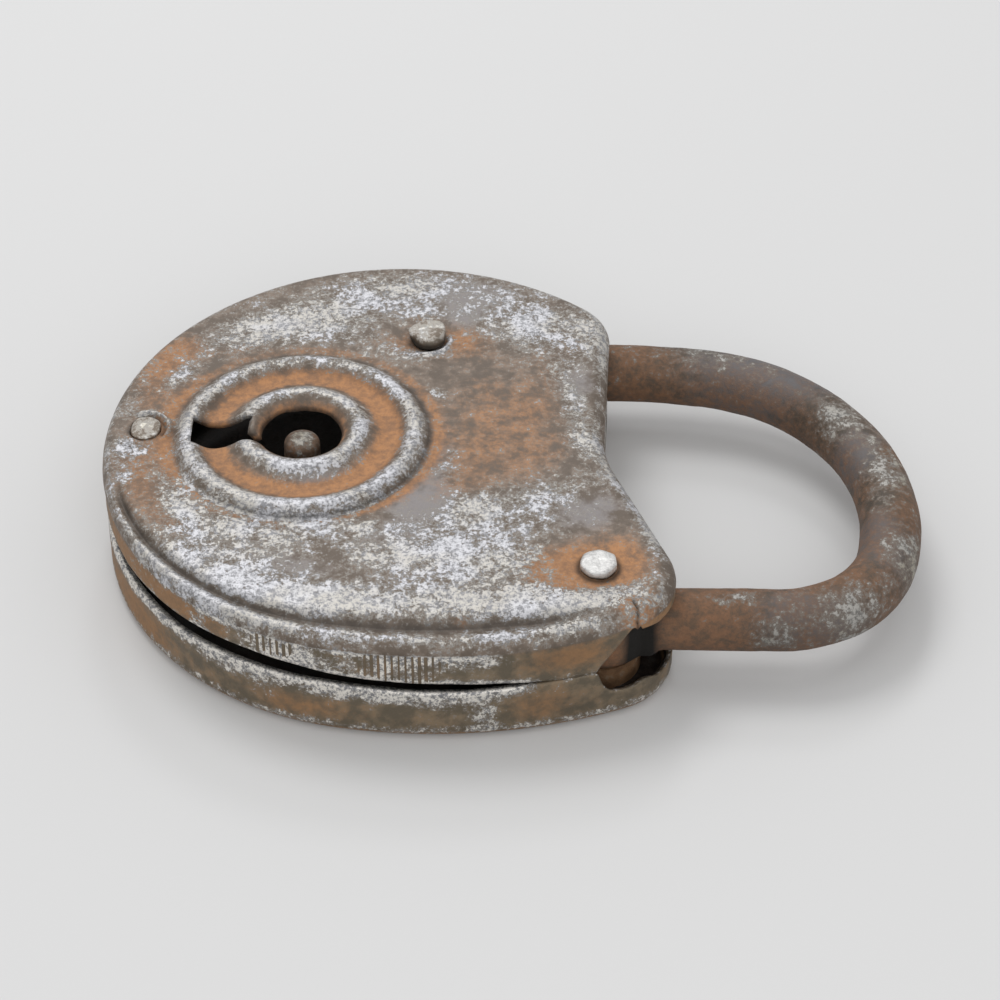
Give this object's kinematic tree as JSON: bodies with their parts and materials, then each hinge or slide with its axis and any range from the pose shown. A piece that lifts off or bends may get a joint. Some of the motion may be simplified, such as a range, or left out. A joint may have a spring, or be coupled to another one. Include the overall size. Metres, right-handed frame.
{
  "type": "rusty padlock",
  "caption": "Rusty round pressed-steel lever padlock with a ringed keyhole, riveted shells and a swinging round-bar shackle, lying on its back.",
  "frame": {"origin": "on the flat back face, under the middle of the case (2.3 mm from the round body's centre towards the shackle)", "axes": "+X towards the shackle, +Y towards the shackle's free leg, +Z out of the front face"},
  "size_m": [0.1104, 0.08, 0.0193],
  "materials": {
    "shell_front": "rusty sheet steel with worn silver patches",
    "shell_back": "rusty sheet steel, duller and browner",
    "shackle_bar": "dark brown oxidised bar with mottled wear",
    "rivet": "bright hammered steel",
    "pin": "brown worn steel",
    "inner_steel": "dull oiled and rusted steel"
  },
  "bodies": {
    "case": {"back_shell": "shell_back", "front_shell": "shell_front", "pivot_rivet": "rivet", "side_rivet": "rivet", "tail_rivet": "rivet", "drill_pin": "pin", "side_sleeve": "inner_steel", "tail_sleeve": "inner_steel", "heel_collar_back": "inner_steel", "heel_collar_front": "inner_steel", "ward_ring": "inner_steel", "guide_post_near": "inner_steel", "guide_post_far": "inner_steel", "lever_post": "inner_steel", "stack_washer": "inner_steel"},
    "shackle": {"shackle": "shackle_bar"},
    "bolt": {"bolt": "inner_steel", "bolt_stump": "inner_steel"},
    "lever_1": {"lever_1": "inner_steel", "lever_spring_1": "inner_steel"},
    "lever_2": {"lever_2": "inner_steel", "lever_spring_2": "inner_steel"},
    "lever_3": {"lever_3": "inner_steel", "lever_spring_3": "inner_steel"},
    "lever_4": {"lever_4": "inner_steel", "lever_spring_4": "inner_steel"}
  },
  "joints": [
    {"name": "shackle_swing", "type": "hinge", "parent": "case", "child": "shackle", "pos_m": [0.02449, -0.0259, 0.0083], "axis": [0, 0, 1], "range_deg": [-66, 0]},
    {"name": "bolt_slide", "type": "slide", "parent": "case", "child": "bolt", "axis": [0, 1, 0], "range_m": [0, 0.005]},
    {"name": "lever_1_turn", "type": "hinge", "parent": "case", "child": "lever_1", "pos_m": [0.003, -0.025, 0.0106], "axis": [0, 0, 1], "range_deg": [0, 5]},
    {"name": "lever_2_turn", "type": "hinge", "parent": "case", "child": "lever_2", "pos_m": [0.003, -0.025, 0.012], "axis": [0, 0, 1], "range_deg": [0, 4]},
    {"name": "lever_3_turn", "type": "hinge", "parent": "case", "child": "lever_3", "pos_m": [0.003, -0.025, 0.0134], "axis": [0, 0, 1], "range_deg": [0, 4.5]},
    {"name": "lever_4_turn", "type": "hinge", "parent": "case", "child": "lever_4", "pos_m": [0.003, -0.025, 0.0148], "axis": [0, 0, 1], "range_deg": [0, 3.5]}
  ]
}
